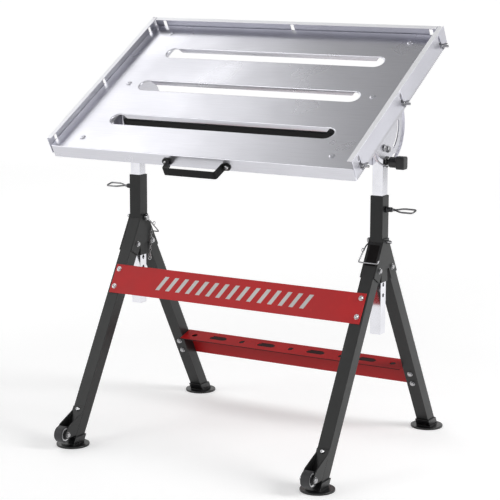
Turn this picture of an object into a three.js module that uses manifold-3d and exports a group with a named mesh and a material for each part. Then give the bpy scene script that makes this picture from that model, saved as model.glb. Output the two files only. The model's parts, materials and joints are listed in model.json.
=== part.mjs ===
// A portable welding table: a slotted steel top that tilts and slides up on two chromed posts,
// standing on two pairs of folding legs.
//
// Millimetres, +Z up. The table stands on z = 0 and faces -Y. It is the same on both sides of
// x = 0, so most pieces are drawn on the right (+X) side and mirrored.

import * as THREE from 'three';
import { mergeVertices } from 'three/addons/utils/BufferGeometryUtils.js';
import Module from 'manifold-3d';

const wasm = await Module();
wasm.setup();

// ---------------------------------------------------------------- driving dimensions

const GAP = 0.3; // between pieces that touch
const BOLT = 4; // radius of the hinge bolts and lock pins
const BOLT_HOLE = BOLT + GAP;
const BOLT_HEAD = 6.5;

// Top plate, in its own frame: x across, y from front to back, z square to the surface,
// and the origin on the tilt axis.
const TOP_WIDTH = 762;
const TOP_DEPTH = 500;
const TOP_TILT = 30;
const SURFACE = 78; // height of the work surface above the tilt axis
const SHEET = 2.5;
const FLANGE = 30;
const CORNER = 4;
const SLOT_PITCH = 134.5;
const SLOT_LENGTH = 566;
const SLOT_WIDTH = 38;
const SLOT_LIP = 12;

// Stop rails that slide up and down on the flanges.
const RAIL_HEIGHT = 42;
const RAIL_WALL = 1.8;
const RAIL_GAP = 0.4;
const RAIL_LIP = 12;
const RAIL_OVERHANG = 5;
const STUD = 3;
const STUD_DROP = 11;
const STUD_REACH = 21;
const STUD_SPREAD_Y = 222;
const STUD_SPREAD_X = 352;
const STUD_HEAD = 2;

// Tilt brackets under the top, one channel over each post.
const BRACKET_WALL = 2.5;
const BRACKET_IN = 301.5;
const BRACKET_OUT = 332.5;
const BRACKET_RIM = BRACKET_OUT + 3;
const BRACKET_HALF = 230;
const BRACKET_DEPTH = 25;
const LOBE = 83;
const LOBE_STEPS = 20;
const LOCK_RADIUS = 74;
const WINDOW_RADIUS = 55;
const TIE_BAR = { y: -66, z: 21, size: 20, wall: 1.5 };

// Posts and the sleeves they slide in.
const FRAME_X = 317;
const PIVOT_Z = 740;
const POST = 25;
const POST_WALL = 2;
const POST_TOP = 755;
const POST_BOTTOM = 283;
const TUBE = 30;
const TUBE_WALL = 1.8;
const SLEEVE_TOP = 592;
const SLEEVE_BOTTOM = 400;
const HOLE_PITCH = 24;
const LOCK_PIN_Z = 490;
const PIN_STEPS = 3; // from the lock pin up to the pull pin
const STEPS_UP = 5;
const STEPS_DOWN = 1;
const PULL_PIN_Z = LOCK_PIN_Z + PIN_STEPS * HOLE_PITCH;
const PULL_PIN = 3.2;

// Legs: square tubes that leave the sleeves at the kink.
const LEG_ANGLE = 30;
const KINK_Z = 490;
const LEG_END = 6;
const LEG_PIVOT_Y = 31;
const LEG_PIVOT_Z = 430;
const GUSSET = 2.5;
const FOOT_Y = 276;
const FOOT_RADIUS = 38;
const FOOT_THICK = 5;
const COLLAR_TOP = 22;
const COLLAR_WALL = 2.5;

// Transport wheels in front of the front feet.
const WHEEL_Y = -316;
const WHEEL_Z = 35;
const WHEEL_RADIUS = 18.5;
const WHEEL_WIDTH = 21.6;
const WHEEL_PLATE = 2.3;
const BRACKET_TOP = 84;
const CHEEK_TOP = 77;
const BRACKET_FOOT = 26;
const CHEEK_NOSE = 9;

// Front panel and tool tray.
const PANEL = { half: 327, bottom: 326, top: 387, thick: 2 };
const TRAY = { half: 326, bottom: 112, top: 176, thick: 2 };
const SHELF = { half: 301, depth: 46, slope: 16.6, pitch: 68, hole: 16, slot: 50 };

const SLOPE = Math.tan(THREE.MathUtils.degToRad(LEG_ANGLE));
const LEG_SECTION = TUBE / Math.cos(THREE.MathUtils.degToRad(LEG_ANGLE)); // leg depth along y

// The origin is midway between the wheels' front and the rear feet's back.
const CENTRE_SHIFT = (WHEEL_RADIUS - WHEEL_Y - FOOT_Y - FOOT_RADIUS) / 2;

// ---------------------------------------------------------------- materials

function metal(color, roughness, metalness) {
  return new THREE.MeshStandardMaterial({ color, roughness, metalness });
}

const topSteel = metal('#c9cad2', 0.3, 1);
const railSteel = metal('#d4d5db', 0.34, 1);
const bracketSteel = metal('#bfbfc9', 0.4, 1);
const chrome = metal('#e2e2ec', 0.12, 1);
const zinc = metal('#dcdde0', 0.3, 1);
const blackPaint = metal('#3d3f40', 0.45, 0.2);
const redPaint = metal('#ab3a3a', 0.42, 0.1);
const blackPlastic = metal('#1d1d1d', 0.5, 0);
const wheelPlastic = metal('#2a2a2a', 0.6, 0);

// ---------------------------------------------------------------- solids

function toSolid(geometry) {
  geometry.deleteAttribute('normal');
  geometry.deleteAttribute('uv');
  const merged = mergeVertices(geometry, 1e-4);
  const index = [];
  for (let i = 0; i < merged.index.count; i += 3) {
    const [a, b, c] = [0, 1, 2].map((k) => merged.index.getX(i + k));
    if (a !== b && b !== c && c !== a) index.push(a, b, c);
  }
  return new wasm.Manifold(new wasm.Mesh({
    numProp: 3,
    vertProperties: new Float32Array(merged.attributes.position.array),
    triVerts: new Uint32Array(index),
  }));
}

function toGeometry(solid) {
  const mesh = solid.getMesh();
  const geometry = new THREE.BufferGeometry();
  geometry.setAttribute('position', new THREE.BufferAttribute(mesh.vertProperties, 3));
  geometry.setIndex(new THREE.BufferAttribute(mesh.triVerts, 1));
  geometry.computeVertexNormals();
  return geometry;
}

// The same solid moved or turned by a matrix.
function placed(solid, matrix) {
  return toSolid(toGeometry(solid).applyMatrix4(matrix));
}

function cut(solid, tools) {
  return tools.reduce((left, tool) => left.subtract(tool), solid);
}

function join(solids) {
  return solids.reduce((all, solid) => all.add(solid));
}

function box(x0, x1, y0, y1, z0, z1) {
  const geometry = new THREE.BoxGeometry(x1 - x0, y1 - y0, z1 - z0);
  return toSolid(geometry.translate((x0 + x1) / 2, (y0 + y1) / 2, (z0 + z1) / 2));
}

// A round bar along one axis, centred on (a, b) of the other two. Six sides make a hexagon head.
function rod(axis, radius, from, to, a, b, sides = 12) {
  const geometry = new THREE.CylinderGeometry(radius, radius, to - from, sides);
  const middle = (from + to) / 2;
  if (axis === 'x') geometry.rotateZ(-Math.PI / 2).translate(middle, a, b);
  if (axis === 'y') geometry.translate(a, middle, b);
  if (axis === 'z') geometry.rotateX(Math.PI / 2).translate(a, b, middle);
  return toSolid(geometry);
}

const AXIS_X = new THREE.Vector3(1, 0, 0);
const AXIS_Y = new THREE.Vector3(0, 1, 0);
const AXIS_Z = new THREE.Vector3(0, 0, 1);

// A plate square to one axis: its outline is drawn in the other two, in x, y, z order.
function plate(axis, outline, from, to) {
  const shape = new THREE.Shape(outline.map(([a, b]) => new THREE.Vector2(a, b)));
  const geometry = new THREE.ExtrudeGeometry(shape, { depth: to - from, bevelEnabled: false });
  if (axis === 'x') {
    geometry.translate(0, 0, from).applyMatrix4(new THREE.Matrix4().makeBasis(AXIS_Y, AXIS_Z, AXIS_X));
  }
  if (axis === 'y') {
    const down = AXIS_Y.clone().negate();
    geometry.translate(0, 0, -to).applyMatrix4(new THREE.Matrix4().makeBasis(AXIS_X, AXIS_Z, down));
  }
  if (axis === 'z') geometry.translate(0, 0, from);
  return toSolid(geometry);
}

// Points along an arc, in degrees, both ends included.
function arc(x, y, radius, start, end, steps) {
  return Array.from({ length: steps + 1 }, (_, i) => {
    const angle = THREE.MathUtils.degToRad(start + ((end - start) * i) / steps);
    return [x + radius * Math.cos(angle), y + radius * Math.sin(angle)];
  });
}

// A slot outline with round ends, centred on (x, y) and running along the first axis.
function stadium(x, y, length, width, steps = 4) {
  const r = width / 2;
  const reach = length / 2 - r;
  return [...arc(x + reach, y, r, -90, 90, steps), ...arc(x - reach, y, r, 90, 270, steps)];
}

// A curved slot about the origin: angles run from straight down towards +y.
function arcSlot(radius, halfWidth, start, end) {
  const a = start - 90;
  const b = end - 90;
  const ends = [a, b].map((angle) => arc(0, 0, radius, angle, angle, 1)[0]);
  return [
    ...arc(0, 0, radius + halfWidth, a, b, 10),
    ...arc(ends[1][0], ends[1][1], halfWidth, b, b + 180, 4).slice(1, -1),
    ...arc(0, 0, radius - halfWidth, b, a, 10),
    ...arc(ends[0][0], ends[0][1], halfWidth, a + 180, a + 360, 4).slice(1, -1),
  ];
}

// A wire of straight runs joined by bends.
function wire(points, radius, bend) {
  const corners = points.map((point) => new THREE.Vector3(...point));
  const path = new THREE.CurvePath();
  let from = corners[0];
  for (let i = 1; i < corners.length - 1; i += 1) {
    const before = corners[i].clone().lerp(corners[i - 1], bend / corners[i].distanceTo(corners[i - 1]));
    const after = corners[i].clone().lerp(corners[i + 1], bend / corners[i].distanceTo(corners[i + 1]));
    path.add(new THREE.LineCurve3(from, before));
    path.add(new THREE.QuadraticBezierCurve3(before, corners[i], after));
    from = after;
  }
  path.add(new THREE.LineCurve3(from, corners[corners.length - 1]));
  const section = new THREE.Shape(arc(0, 0, radius, 0, 300, 5).map(([a, b]) => new THREE.Vector2(a, b)));
  const steps = Math.ceil(path.getLength() / (radius * 3));
  return toSolid(new THREE.ExtrudeGeometry(section, { extrudePath: path, steps, bevelEnabled: false }));
}

// ---------------------------------------------------------------- the group and its meshes

const group = new THREE.Group();
group.position.y = CENTRE_SHIFT;

const tilting = new THREE.Group();
tilting.position.z = PIVOT_Z;
tilting.rotation.x = THREE.MathUtils.degToRad(TOP_TILT);
group.add(tilting);

function add(parent, name, material, geometry) {
  const mesh = new THREE.Mesh(geometry, material);
  mesh.name = name;
  parent.add(mesh);
}

function addPiece(parent, name, material, solid) {
  add(parent, name, material, toGeometry(solid));
}

function mirrored(geometry) {
  const copy = geometry.clone().scale(-1, 1, 1);
  const index = copy.index;
  for (let i = 0; i < index.count; i += 3) {
    const second = index.getX(i + 1);
    index.setX(i + 1, index.getX(i + 2));
    index.setX(i + 2, second);
  }
  copy.computeVertexNormals();
  return copy;
}

// Adds a piece drawn on the right side, and its mirror image on the left.
function addPair(parent, name, material, solid) {
  const geometry = toGeometry(solid);
  add(parent, `${name}_right`, material, geometry);
  add(parent, `${name}_left`, material, mirrored(geometry));
}

// ---------------------------------------------------------------- top

function chamferedRectangle(halfX, halfY, corner) {
  return [
    [halfX - corner, -halfY], [halfX, -halfY + corner],
    [halfX, halfY - corner], [halfX - corner, halfY],
    [-halfX + corner, halfY], [-halfX, halfY - corner],
    [-halfX, -halfY + corner], [-halfX + corner, -halfY],
  ];
}

// Where the studs stand along a side flange, and along the back flange.
const STUD_ROWS = { front: -STUD_SPREAD_Y, middle: 0, rear: STUD_SPREAD_Y };
const STUD_COLUMNS = { left: -STUD_SPREAD_X, middle: 0, right: STUD_SPREAD_X };
const STUD_HEIGHT = SURFACE - STUD_DROP;

// A stud welded through a flange, its head inside.
function stud(axis, flangeFace, a, b) {
  const inside = flangeFace - SHEET;
  return join([
    rod(axis, 2 * STUD, inside - STUD_HEAD, inside + 1, a, b, 8),
    rod(axis, STUD, inside, flangeFace + STUD_REACH, a, b, 8),
  ]);
}

function studs() {
  const right = Object.values(STUD_ROWS).map((y) => stud('x', TOP_WIDTH / 2, y, STUD_HEIGHT));
  const left = right.map((solid) => toSolid(mirrored(toGeometry(solid))));
  const back = Object.values(STUD_COLUMNS).map((x) => stud('y', TOP_DEPTH / 2, x, STUD_HEIGHT));
  return [...right, ...left, ...back];
}

function tabletop() {
  const outline = chamferedRectangle(TOP_WIDTH / 2, TOP_DEPTH / 2, CORNER);
  const under = chamferedRectangle(TOP_WIDTH / 2 - SHEET, TOP_DEPTH / 2 - SHEET, CORNER);
  const tools = [plate('z', under, SURFACE - FLANGE - 1, SURFACE - SHEET)];
  const lips = [];
  const lipHalf = (SLOT_LENGTH - SLOT_WIDTH) / 2;
  for (const y of [-SLOT_PITCH, 0, SLOT_PITCH]) {
    tools.push(plate('z', stadium(0, y, SLOT_LENGTH, SLOT_WIDTH, 8), SURFACE - 2 * SHEET, SURFACE + 1));
    for (const edge of [y - SLOT_WIDTH / 2 - SHEET, y + SLOT_WIDTH / 2]) {
      lips.push(box(-lipHalf, lipHalf, edge, edge + SHEET, SURFACE - SLOT_LIP, SURFACE - 1));
    }
  }
  const sheet = cut(plate('z', outline, SURFACE - FLANGE, SURFACE), tools);
  return join([sheet, ...lips, ...studs()]);
}

addPiece(tilting, 'tabletop', topSteel, tabletop());

// Upright slots let the rails slide on the studs.
const RAIL_SLOT = 30;
const RAIL_TOP = SURFACE + RAIL_HEIGHT / 2;
const RAIL_BOTTOM = SURFACE - RAIL_HEIGHT / 2;
const RAIL_SLOT_WIDTH = 9;

function sideRail() {
  const inner = TOP_WIDTH / 2 + RAIL_GAP;
  const outer = inner + RAIL_WALL;
  const back = TOP_DEPTH / 2;
  const wall = box(inner, outer, -back, back + RAIL_OVERHANG, RAIL_BOTTOM, RAIL_TOP);
  const lip = box(outer - RAIL_LIP, outer, -back, back - 0.5, RAIL_TOP - RAIL_WALL, RAIL_TOP);
  const slots = Object.values(STUD_ROWS).map((y) => {
    const upright = stadium(SURFACE, -y, RAIL_SLOT, RAIL_SLOT_WIDTH).map(([z, negY]) => [-negY, z]);
    return plate('x', upright, inner - 1, outer + 1);
  });
  return cut(join([wall, lip]), slots);
}

function backRail() {
  const inner = TOP_DEPTH / 2 + RAIL_GAP;
  const outer = inner + RAIL_WALL;
  const lipHalf = TOP_WIDTH / 2 - RAIL_LIP + 1;
  const wallHalf = TOP_WIDTH / 2 - 3;
  const wall = box(-wallHalf, wallHalf, inner, outer, RAIL_BOTTOM, RAIL_TOP);
  const lip = box(-lipHalf, lipHalf, outer - RAIL_LIP, outer, RAIL_TOP - RAIL_WALL, RAIL_TOP);
  const slots = Object.values(STUD_COLUMNS).map((x) => {
    const upright = stadium(SURFACE, -x, RAIL_SLOT, RAIL_SLOT_WIDTH).map(([z, negX]) => [-negX, z]);
    return plate('y', upright, inner - 1, outer + 1);
  });
  return cut(join([wall, lip]), slots);
}

addPair(tilting, 'rail', railSteel, sideRail());
addPiece(tilting, 'rail_back', railSteel, backRail());

// A wing nut on the x axis, with its face on x = 0 and its wings spread along y.
function wingNut() {
  const hub = rod('x', 5.5, GAP, 7, 0, 0, 8);
  const wing = [[2, 3], [4, 8], [9, 12.5], [12.5, 12], [13, 9.5], [8, 6], [6.5, 3]];
  const wings = [1, -1].map((side) => plate('z', wing.map(([x, y]) => [x, side * y]), -1.2, 1.2));
  return cut(join([hub, ...wings]), [rod('x', STUD + GAP, -1, 14, 0, 0)]);
}

function addWingNuts() {
  const geometry = toGeometry(wingNut());
  const rail = RAIL_GAP + RAIL_WALL;
  for (const [place, y] of Object.entries(STUD_ROWS)) {
    const right = geometry.clone().translate(TOP_WIDTH / 2 + rail, y, STUD_HEIGHT);
    add(tilting, `wing_nut_right_${place}`, zinc, right);
    add(tilting, `wing_nut_left_${place}`, zinc, mirrored(right));
  }
  for (const [place, x] of Object.entries(STUD_COLUMNS)) {
    const back = geometry.clone().rotateZ(Math.PI / 2).translate(x, TOP_DEPTH / 2 + rail, STUD_HEIGHT);
    add(tilting, `wing_nut_back_${place}`, zinc, back);
  }
}

addWingNuts();

// A strap handle on the front flange, wide enough for a gloved hand.
function handle() {
  const face = -TOP_DEPTH / 2 - GAP;
  const strap = 3;
  const reach = 32;
  const half = [[66.5, -reach - strap], [70, -strap], [86, -strap], [86, 0], [67, 0], [63.6, -reach]];
  const right = half.map(([x, y]) => [x, face + y]);
  const left = right.map(([x, y]) => [-x, y]).reverse();
  return plate('z', [...right, ...left], SURFACE - FLANGE + 2, SURFACE - 10);
}

addPiece(tilting, 'handle', blackPaint, handle());

// ---------------------------------------------------------------- tilt brackets and knobs

// One wall of a bracket: a strip under the top with a round lobe about the tilt axis.
function bracketOutline() {
  const top = SURFACE - SHEET - GAP;
  const low = top - BRACKET_DEPTH;
  const meet = THREE.MathUtils.radToDeg(Math.asin(low / LOBE));
  return [
    [BRACKET_HALF, top], [-BRACKET_HALF, top], [-BRACKET_HALF, low + 8], [-BRACKET_HALF + 8, low],
    ...arc(0, 0, LOBE, 180 - meet, 360 + meet, LOBE_STEPS),
    [BRACKET_HALF - 8, low], [BRACKET_HALF, low + 8],
  ];
}

function sideBracket() {
  const outline = bracketOutline();
  const top = SURFACE - SHEET - GAP;
  const innerWall = plate('x', outline, BRACKET_IN, BRACKET_IN + BRACKET_WALL);
  const outerWall = plate('x', outline, BRACKET_OUT - BRACKET_WALL, BRACKET_OUT);
  const web = box(BRACKET_IN, BRACKET_OUT, -BRACKET_HALF, BRACKET_HALF, top - BRACKET_WALL, top);
  const band = [
    ...arc(0, 0, LOBE, -180, 0, LOBE_STEPS),
    ...arc(0, 0, LOBE - BRACKET_WALL, 0, -180, LOBE_STEPS),
  ];
  const rim = plate('x', band, BRACKET_OUT - 1, BRACKET_RIM);
  const slot = plate('x', arcSlot(LOCK_RADIUS, BOLT + 0.5, -93, 3), BRACKET_OUT - 5, BRACKET_OUT + 1);
  const window = plate('x', arcSlot(WINDOW_RADIUS, BOLT, 7, 70), BRACKET_OUT - 5, BRACKET_OUT + 1);
  const pivotHole = rod('x', BOLT_HOLE, BRACKET_IN - 1, BRACKET_OUT + 1, 0, 0);
  return cut(join([innerWall, outerWall, web, rim]), [slot, window, pivotHole]);
}

function tieBar() {
  const { y, z, size, wall } = TIE_BAR;
  const end = BRACKET_IN - GAP;
  const r = size / 2;
  const bore = r - wall;
  const outside = box(-end, end, y - r, y + r, z - r, z + r);
  return cut(outside, [box(-end - 1, end + 1, y - bore, y + bore, z - bore, z + bore)]);
}

addPair(tilting, 'side_bracket', bracketSteel, sideBracket());
addPiece(tilting, 'tie_bar', blackPaint, tieBar());

// A bolt along x with a head on each side of what it holds.
function bolt(inside, outside, y, z) {
  return join([
    rod('x', BOLT, inside - 3, outside + 3, y, z),
    rod('x', BOLT_HEAD, inside - 5, inside - GAP, y, z, 6),
    rod('x', BOLT_HEAD, outside + GAP, outside + 5, y, z, 6),
  ]);
}

addPair(group, 'tilt_pivot_bolt', zinc, bolt(BRACKET_IN, BRACKET_OUT, 0, PIVOT_Z));

const LOCK_Z = PIVOT_Z - LOCK_RADIUS;

// A knob with a bar grip. Its threaded stem runs through the bracket's slot into the post.
function tiltKnob() {
  const neck = { start: BRACKET_RIM + 0.6, end: BRACKET_RIM + 24, radius: 12 };
  const grip = { start: BRACKET_RIM + 22, end: BRACKET_RIM + 43, halfY: 11, halfZ: 14.5 };
  return join([
    rod('x', BOLT, FRAME_X - 5, neck.start + 1, 0, LOCK_Z),
    rod('x', BOLT + 2, BRACKET_OUT + GAP, neck.start + 1, 0, LOCK_Z),
    rod('x', neck.radius, neck.start, neck.end, 0, LOCK_Z, 16),
    box(grip.start, grip.end, -grip.halfY, grip.halfY, LOCK_Z - grip.halfZ, LOCK_Z + grip.halfZ),
  ]);
}

addPair(group, 'tilt_knob', blackPlastic, tiltKnob());

// ---------------------------------------------------------------- posts, sleeves and their pins

function squareTube(size, wall, z0, z1) {
  const r = size / 2;
  const bore = r - wall;
  const outside = box(FRAME_X - r, FRAME_X + r, -r, r, z0, z1);
  return cut(outside, [box(FRAME_X - bore, FRAME_X + bore, -bore, bore, z0 - 1, z1 + 1)]);
}

// The holes reach from the lock pin at the post's highest setting to the pull pin at its lowest.
function post() {
  const across = [FRAME_X - POST, FRAME_X + POST];
  const holes = [
    rod('x', BOLT_HOLE, ...across, 0, PIVOT_Z),
    rod('x', BOLT_HOLE, FRAME_X, across[1], 0, LOCK_Z),
  ];
  for (let step = -STEPS_UP; step <= PIN_STEPS + STEPS_DOWN; step += 1) {
    holes.push(rod('x', BOLT_HOLE + GAP, ...across, 0, LOCK_PIN_Z + step * HOLE_PITCH, 8));
  }
  return cut(squareTube(POST, POST_WALL, POST_BOTTOM, POST_TOP), holes);
}

function sleeve() {
  return cut(squareTube(TUBE, TUBE_WALL, SLEEVE_BOTTOM, SLEEVE_TOP), [
    rod('x', BOLT_HOLE, FRAME_X - TUBE, FRAME_X + TUBE, 0, LOCK_PIN_Z),
    rod('x', PULL_PIN + GAP, FRAME_X, FRAME_X + TUBE, 0, PULL_PIN_Z),
  ]);
}

addPair(group, 'post', chrome, post());
addPair(group, 'sleeve', blackPaint, sleeve());

const TUBE_FACE = FRAME_X + TUBE / 2;
const HOUSING_END = TUBE_FACE + 16;

function pullPinHousing() {
  const barrel = rod('x', 5.5, TUBE_FACE + GAP, HOUSING_END, 0, PULL_PIN_Z);
  const nut = rod('x', 7.5, TUBE_FACE + GAP, TUBE_FACE + 5, 0, PULL_PIN_Z, 6);
  const bore = rod('x', PULL_PIN + GAP, TUBE_FACE - 1, HOUSING_END + 1, 0, PULL_PIN_Z);
  return cut(join([barrel, nut]), [bore]);
}

const RING_LEAN = new THREE.Matrix4().makeTranslation(0, 0, PULL_PIN_Z)
  .multiply(new THREE.Matrix4().makeRotationX(THREE.MathUtils.degToRad(12)));

// The sprung pin and the flat ring that pulls it, turned a little towards the front.
function pullPin() {
  const near = HOUSING_END + 4;
  const far = HOUSING_END + 53;
  const half = 11;
  const shaft = rod('x', PULL_PIN, FRAME_X + 6, near + 3, 0, PULL_PIN_Z);
  const corners = [[near, -1], [near, half], [far, half], [far, -half], [near, -half], [near, 1]];
  const ring = wire(corners.map(([x, y]) => [x, y, 0]), 1.8, 9);
  return join([shaft, placed(ring, RING_LEAN)]);
}

addPair(group, 'pull_pin_housing', zinc, pullPinHousing());
addPair(group, 'pull_pin', zinc, pullPin());

const GUSSET_IN = FRAME_X - TUBE / 2 - GAP - GUSSET;
const GUSSET_OUT = TUBE_FACE + GAP + GUSSET;

function lockPin() {
  return join([
    rod('x', BOLT, GUSSET_IN - 7, GUSSET_OUT + 13, 0, LOCK_PIN_Z),
    rod('x', 6, GUSSET_IN - 9.2, GUSSET_IN - 5.4, 0, LOCK_PIN_Z),
  ]);
}

// The spring-wire bail that turns on the lock pin and snaps over the leg.
// lean is the angle from straight down to the bail, towards +y.
function lockPinBail(lean) {
  const ringIn = GUSSET_IN - 4.9;
  const ringOut = GUSSET_IN - 1.5;
  const length = 64;
  const hole = rod('x', BOLT_HOLE, ringIn - 1, ringOut + 1, 0, 0);
  const ring = cut(rod('x', 7.4, ringIn, ringOut, 0, 0), [hole]);
  const arm = GUSSET_IN - 7.5;
  const tip = GUSSET_OUT + 3;
  const run = wire([
    [(ringIn + ringOut) / 2, 0, -5.9], [arm, 0, -16],
    [arm, 0, -length], [tip, 0, -length], [tip, 0, -length + 9],
  ], 1.6, 3.5);
  const turn = new THREE.Matrix4().makeRotationX(THREE.MathUtils.degToRad(lean));
  return placed(join([ring, run]), turn.premultiply(new THREE.Matrix4().makeTranslation(0, 0, LOCK_PIN_Z)));
}

addPair(group, 'lock_pin', zinc, lockPin());
addPiece(group, 'lock_pin_bail_right', zinc, lockPinBail(-50));
add(group, 'lock_pin_bail_left', zinc, mirrored(toGeometry(lockPinBail(50))));

// The chain that keeps a lock pin, as one slim solid beside the inner gusset.
function lanyardChain() {
  const x = GUSSET_IN - 3;
  return wire([[x, 22, 463], [x, 19, 430], [x, 15, 405], [x, 14, 388]], 1.5, 8);
}

addPair(group, 'lanyard_chain', zinc, lanyardChain());

// ---------------------------------------------------------------- gussets and legs

// How far forward a leg's outer face is at a height.
function legFace(z) {
  return TUBE / 2 + (KINK_Z - z) * SLOPE;
}

// A plate that covers the tops of both legs, cut square across each leg below its pivot.
function gusset(x0, x1) {
  const end = LEG_PIVOT_Z - 12;
  const angle = THREE.MathUtils.degToRad(LEG_ANGLE);
  const fork = KINK_Z - (LEG_SECTION + GAP) / SLOPE;
  const half = [
    [TUBE / 2 - 1, KINK_Z + 7], [TUBE / 2, KINK_Z], [legFace(end), end],
    [legFace(end) - TUBE * Math.cos(angle), end - TUBE * Math.sin(angle)], [TUBE / 2 + GAP, fork],
  ];
  const outline = [...half, ...half.map(([y, z]) => [-y, z]).reverse()];
  const holes = [[0, LOCK_PIN_Z], [LEG_PIVOT_Y, LEG_PIVOT_Z], [-LEG_PIVOT_Y, LEG_PIVOT_Z]];
  return cut(plate('x', outline, x0, x1), holes.map(([y, z]) => rod('x', BOLT_HOLE, x0 - 1, x1 + 1, y, z)));
}

addPair(group, 'gusset_outer', blackPaint, gusset(GUSSET_OUT - GUSSET, GUSSET_OUT));
addPair(group, 'gusset_inner', blackPaint, gusset(GUSSET_IN, GUSSET_IN + GUSSET));

// A strip between two heights that follows a leg, offset in or out from its outer face.
function alongLeg(outside, inside, z0, z1, x0, x1) {
  const outline = [
    [legFace(z0) + outside, z0], [legFace(z0) + inside, z0],
    [legFace(z1) + inside, z1], [legFace(z1) + outside, z1],
  ];
  return plate('x', outline, x0, x1);
}

// A rear leg on the right side. Its top is cut upright to lie along the sleeve.
function rearLeg() {
  const wall = TUBE_WALL / Math.cos(THREE.MathUtils.degToRad(LEG_ANGLE));
  const above = KINK_Z + 60;
  const r = TUBE / 2;
  const outside = alongLeg(0, -LEG_SECTION, LEG_END, above, FRAME_X - r, FRAME_X + r);
  const bore = r - TUBE_WALL;
  const inside = alongLeg(-wall, wall - LEG_SECTION, LEG_END - 5, above + 5, FRAME_X - bore, FRAME_X + bore);
  const sleeveSide = box(0, 2 * FRAME_X, -100, r + GAP, 0, above + 100);
  const pivot = rod('x', BOLT_HOLE, FRAME_X - TUBE, FRAME_X + TUBE, LEG_PIVOT_Y, LEG_PIVOT_Z);
  return cut(outside, [inside, sleeveSide, pivot]);
}

const TURN_ABOUT = new THREE.Matrix4().makeRotationZ(Math.PI);

// The same piece at the front. A half turn puts it on the left, and mirroring brings it back.
function atFront(solid) {
  return toSolid(mirrored(toGeometry(placed(solid, TURN_ABOUT))));
}

addPair(group, 'rear_leg', blackPaint, rearLeg());
addPair(group, 'front_leg', blackPaint, atFront(rearLeg()));

const legBolt = bolt(GUSSET_IN, GUSSET_OUT, LEG_PIVOT_Y, LEG_PIVOT_Z);
addPair(group, 'leg_pivot_bolt_rear', zinc, legBolt);
addPair(group, 'leg_pivot_bolt_front', zinc, atFront(legBolt));

// A round floor pad with a square collar that the leg stands in.
function foot() {
  const r = TUBE / 2 + GAP;
  const out = r + COLLAR_WALL;
  const slack = GAP / Math.cos(THREE.MathUtils.degToRad(LEG_ANGLE));
  const rim = COLLAR_WALL / Math.cos(THREE.MathUtils.degToRad(LEG_ANGLE));
  const inner = -LEG_SECTION - slack;
  const collar = alongLeg(slack + rim, inner - rim, 2, COLLAR_TOP, FRAME_X - out, FRAME_X + out);
  const socket = alongLeg(slack, inner, LEG_END - GAP, COLLAR_TOP + 5, FRAME_X - r, FRAME_X + r);
  return cut(join([rod('z', FOOT_RADIUS, 0, FOOT_THICK, FRAME_X, FOOT_Y, 32), collar]), [socket]);
}

addPair(group, 'foot_rear', blackPlastic, foot());
addPair(group, 'foot_front', blackPlastic, atFront(foot()));

// ---------------------------------------------------------------- wheels

const PLATE_OUT = TUBE / 2;
const PLATE_IN = TUBE / 2 - WHEEL_PLATE;

// A bracket folded from sheet: a strip on the leg's face and a cheek on each side of the wheel.
function wheelBracket() {
  const face = (z) => -legFace(z) - GAP - 0.05;
  const depth = WHEEL_PLATE / Math.cos(THREE.MathUtils.degToRad(LEG_ANGLE));
  const front = [WHEEL_Y + 10, WHEEL_Z + 20];
  const nose = arc(WHEEL_Y, WHEEL_Z, CHEEK_NOSE, 150, 270, 12);
  const cheek = [[face(CHEEK_TOP), CHEEK_TOP], front, ...nose, [face(BRACKET_FOOT), BRACKET_FOOT]];
  const strip = [
    [face(BRACKET_TOP), BRACKET_TOP], [face(BRACKET_TOP) - depth, BRACKET_TOP],
    [face(BRACKET_FOOT) - depth, BRACKET_FOOT], [face(BRACKET_FOOT), BRACKET_FOOT],
  ];
  const x = FRAME_X;
  const body = join([
    plate('x', cheek, x - PLATE_OUT, x - PLATE_IN),
    plate('x', cheek, x + PLATE_IN, x + PLATE_OUT),
    plate('x', strip, x - PLATE_OUT, x + PLATE_OUT),
  ]);
  return cut(body, [rod('x', BOLT_HOLE, x - TUBE, x + TUBE, WHEEL_Y, WHEEL_Z)]);
}

function wheel() {
  const half = WHEEL_WIDTH / 2;
  const tread = rod('x', WHEEL_RADIUS, FRAME_X - half + 1.5, FRAME_X + half - 1.5, WHEEL_Y, WHEEL_Z, 24);
  const sides = rod('x', WHEEL_RADIUS - 1.5, FRAME_X - half, FRAME_X + half, WHEEL_Y, WHEEL_Z, 24);
  return cut(join([tread, sides]), [rod('x', BOLT_HOLE, FRAME_X - TUBE, FRAME_X + TUBE, WHEEL_Y, WHEEL_Z)]);
}

addPair(group, 'wheel_bracket', blackPaint, wheelBracket());
addPair(group, 'wheel', wheelPlastic, wheel());
addPair(group, 'wheel_axle', zinc, bolt(FRAME_X - PLATE_OUT, FRAME_X + PLATE_OUT, WHEEL_Y, WHEEL_Z));

// ---------------------------------------------------------------- front panel and tool tray

function rearStrip({ half, bottom, top, thick }) {
  const slack = GAP / Math.cos(THREE.MathUtils.degToRad(LEG_ANGLE));
  const depth = thick / Math.cos(THREE.MathUtils.degToRad(LEG_ANGLE));
  return alongLeg(slack + depth, slack, bottom, top, -half, half);
}

addPiece(group, 'front_panel', redPaint, atFront(rearStrip(PANEL)));

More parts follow.
